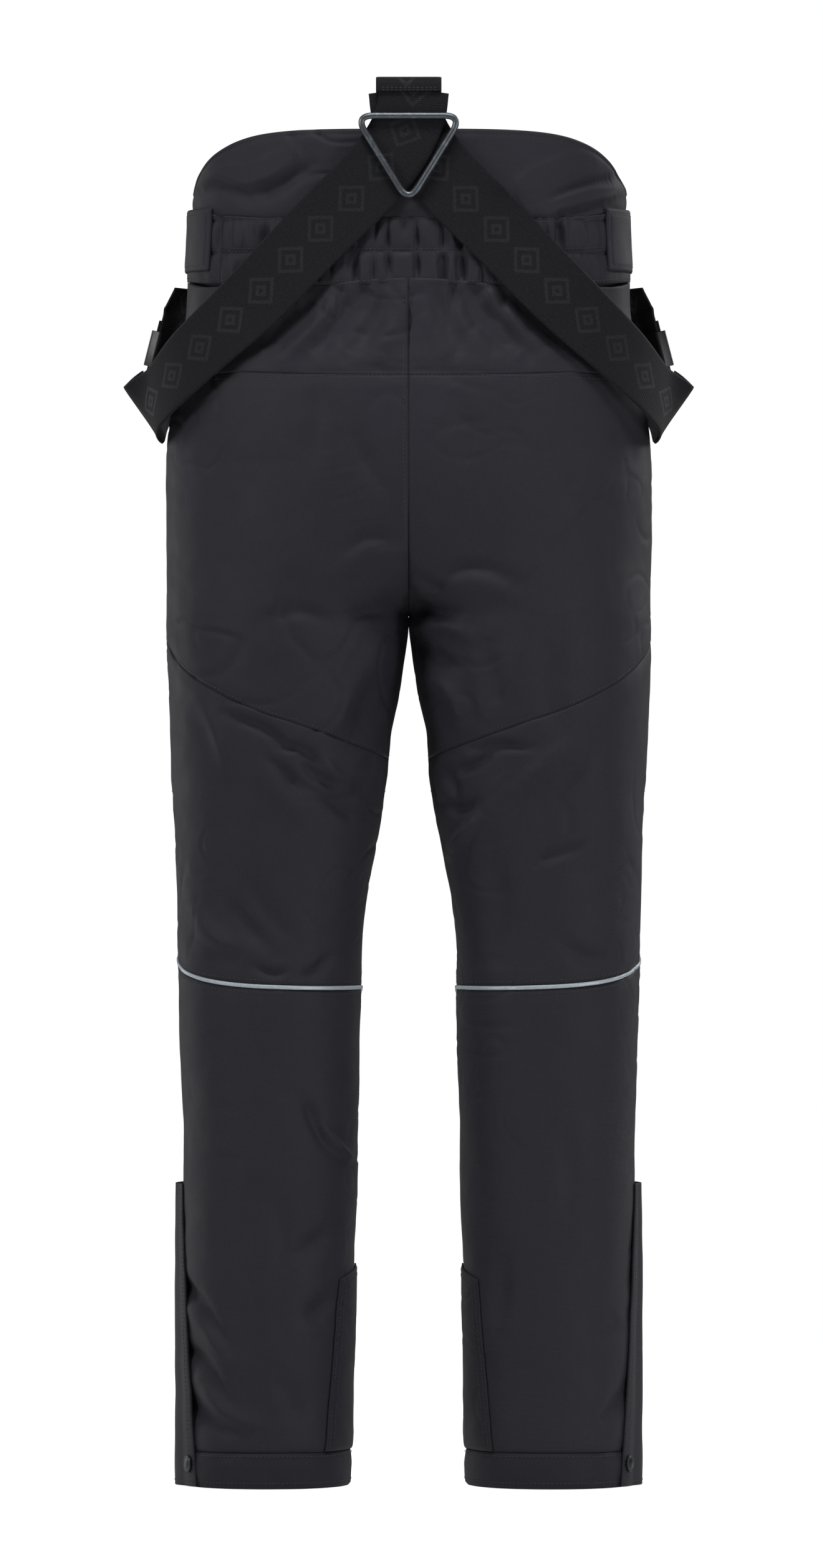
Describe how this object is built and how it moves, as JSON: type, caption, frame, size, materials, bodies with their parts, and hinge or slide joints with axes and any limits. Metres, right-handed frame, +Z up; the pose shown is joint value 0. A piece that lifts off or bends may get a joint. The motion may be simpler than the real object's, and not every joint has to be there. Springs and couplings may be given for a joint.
{
  "type": "insulated snow trousers with braces",
  "caption": "Black insulated snow trousers with a raised elastic back, wide crossed braces on a triangular ring, reflective knee piping and zipped cuffs.",
  "frame": {"origin": "middle of the waist opening, level with the top of the waistband", "axes": "+Z up along the body, +Y to the front (fly side), -Y to the back, +X to the right of a view of the back"},
  "size_m": [0.4124, 0.1959, 1.014],
  "materials": {
    "shell_fabric": "matt black coated polyester plain weave over wadding",
    "reinforced_fabric": "matt black abrasion-resistant woven nylon",
    "lining_fabric": "black taffeta lining",
    "waist_elastic": "shell fabric gathered over elastic",
    "brace_elastic": "black woven elastic webbing with a tonal geometric pattern",
    "reflective_piping": "silver-grey retroreflective tape",
    "zip_tape": "black woven zip tape",
    "coated_metal": "dark grey satin powder coat",
    "moulded_plastic": "black moulded acetal"
  },
  "bodies": {
    "trousers": {"high_back_panel": "shell_fabric", "back_waistband": "waist_elastic", "front_waistband_left": "shell_fabric", "front_waistband_right": "shell_fabric", "waist_snap_cap": "coated_metal", "fly_zip_tape": "zip_tape", "fly_shield": "lining_fabric", "centre_back_loop": "brace_elastic", "back_yoke_left": "shell_fabric", "back_seat_left": "shell_fabric", "back_thigh_left": "shell_fabric", "back_calf_left": "shell_fabric", "front_upper_left": "shell_fabric", "front_knee_left": "reinforced_fabric", "front_calf_left": "shell_fabric", "hem_band_left": "reinforced_fabric", "kick_patch_left": "reinforced_fabric", "reflective_piping_left": "reflective_piping", "lining_left": "lining_fabric", "snow_gaiter_left": "lining_fabric", "pocket_left_zip_tape": "zip_tape", "cuff_left_zip_tape": "zip_tape", "shoulder_strap_left": "brace_elastic", "front_webbing_left": "brace_elastic", "back_yoke_right": "shell_fabric", "back_seat_right": "shell_fabric", "back_thigh_right": "shell_fabric", "back_calf_right": "shell_fabric", "front_upper_right": "shell_fabric", "front_knee_right": "reinforced_fabric", "front_calf_right": "shell_fabric", "hem_band_right": "reinforced_fabric", "kick_patch_right": "reinforced_fabric", "reflective_piping_right": "reflective_piping", "lining_right": "lining_fabric", "snow_gaiter_right": "lining_fabric", "pocket_right_zip_tape": "zip_tape", "cuff_right_zip_tape": "zip_tape", "shoulder_strap_right": "brace_elastic", "front_webbing_right": "brace_elastic"},
    "fly_slider": {"fly_zip_slider": "coated_metal"},
    "fly_puller": {"fly_zip_puller": "moulded_plastic"},
    "ring": {"crossing_ring": "coated_metal"},
    "pocket_slider_left": {"pocket_left_zip_slider": "coated_metal"},
    "pocket_puller_left": {"pocket_left_zip_puller": "moulded_plastic"},
    "cuff_slider_left": {"cuff_left_zip_slider": "coated_metal"},
    "cuff_puller_left": {"cuff_left_zip_puller": "moulded_plastic"},
    "flap_left": {"storm_flap_left": "shell_fabric", "cuff_snap_cap_left": "coated_metal"},
    "tab_left": {"waist_tab_left": "shell_fabric"},
    "adjuster_left": {"brace_adjuster_left": "moulded_plastic"},
    "pocket_slider_right": {"pocket_right_zip_slider": "coated_metal"},
    "pocket_puller_right": {"pocket_right_zip_puller": "moulded_plastic"},
    "cuff_slider_right": {"cuff_right_zip_slider": "coated_metal"},
    "cuff_puller_right": {"cuff_right_zip_puller": "moulded_plastic"},
    "flap_right": {"storm_flap_right": "shell_fabric", "cuff_snap_cap_right": "coated_metal"},
    "tab_right": {"waist_tab_right": "shell_fabric"},
    "adjuster_right": {"brace_adjuster_right": "moulded_plastic"}
  },
  "joints": [
    {"name": "fly_zip_slide", "type": "slide", "parent": "trousers", "child": "fly_slider", "axis": [0, 0, -1], "range_m": [0, 0.112]},
    {"name": "fly_puller_swing", "type": "hinge", "parent": "fly_slider", "child": "fly_puller", "pos_m": [0, 0.0842, -0.0575], "axis": [1, 0, 0], "range_deg": [0, 150]},
    {"name": "ring_slide", "type": "slide", "parent": "trousers", "child": "ring", "axis": [0, 0, 1], "range_m": [0, 0.012]},
    {"name": "pocket_zip_slide_left", "type": "slide", "parent": "trousers", "child": "pocket_slider_left", "axis": [-0.1105, -0.0001, -0.9939], "range_m": [0, 0.115]},
    {"name": "pocket_puller_swing_left", "type": "hinge", "parent": "pocket_slider_left", "child": "pocket_puller_left", "pos_m": [-0.13815, 0.0586, -0.07021], "axis": [0.8014, 0.5915, -0.0892], "range_deg": [0, 150]},
    {"name": "cuff_zip_slide_left", "type": "slide", "parent": "trousers", "child": "cuff_slider_left", "axis": [0, 0, 1], "range_m": [0, 0.175]},
    {"name": "cuff_puller_swing_left", "type": "hinge", "parent": "cuff_slider_left", "child": "cuff_puller_left", "pos_m": [-0.1616, 0, -0.896], "axis": [0, 1, 0], "range_deg": [0, 10]},
    {"name": "storm_flap_open_left", "type": "hinge", "parent": "trousers", "child": "flap_left", "pos_m": [-0.1569, 0.0339, -0.804], "axis": [0, 0, -1], "range_deg": [0, 90]},
    {"name": "waist_tab_open_left", "type": "hinge", "parent": "trousers", "child": "tab_left", "pos_m": [-0.1422, -0.0436, -0.0135], "axis": [0, 0, 1], "range_deg": [0, 90]},
    {"name": "adjuster_slide_left", "type": "slide", "parent": "trousers", "child": "adjuster_left", "axis": [0.246, -0.0607, 0.9674], "range_m": [-0.01, 0.01]},
    {"name": "pocket_zip_slide_right", "type": "slide", "parent": "trousers", "child": "pocket_slider_right", "axis": [0.1105, -0.0001, -0.9939], "range_m": [0, 0.115]},
    {"name": "pocket_puller_swing_right", "type": "hinge", "parent": "pocket_slider_right", "child": "pocket_puller_right", "pos_m": [0.13815, 0.0586, -0.07021], "axis": [0.8014, -0.5915, 0.0892], "range_deg": [0, 150]},
    {"name": "cuff_zip_slide_right", "type": "slide", "parent": "trousers", "child": "cuff_slider_right", "axis": [0, 0, 1], "range_m": [0, 0.175]},
    {"name": "cuff_puller_swing_right", "type": "hinge", "parent": "cuff_slider_right", "child": "cuff_puller_right", "pos_m": [0.1616, 0, -0.896], "axis": [0, -1, 0], "range_deg": [0, 10]},
    {"name": "storm_flap_open_right", "type": "hinge", "parent": "trousers", "child": "flap_right", "pos_m": [0.1569, 0.0339, -0.804], "axis": [0, 0, 1], "range_deg": [0, 90]},
    {"name": "waist_tab_open_right", "type": "hinge", "parent": "trousers", "child": "tab_right", "pos_m": [0.1422, -0.0436, -0.0135], "axis": [0, 0, -1], "range_deg": [0, 90]},
    {"name": "adjuster_slide_right", "type": "slide", "parent": "trousers", "child": "adjuster_right", "axis": [-0.246, -0.0607, 0.9674], "range_m": [-0.01, 0.01]}
  ]
}
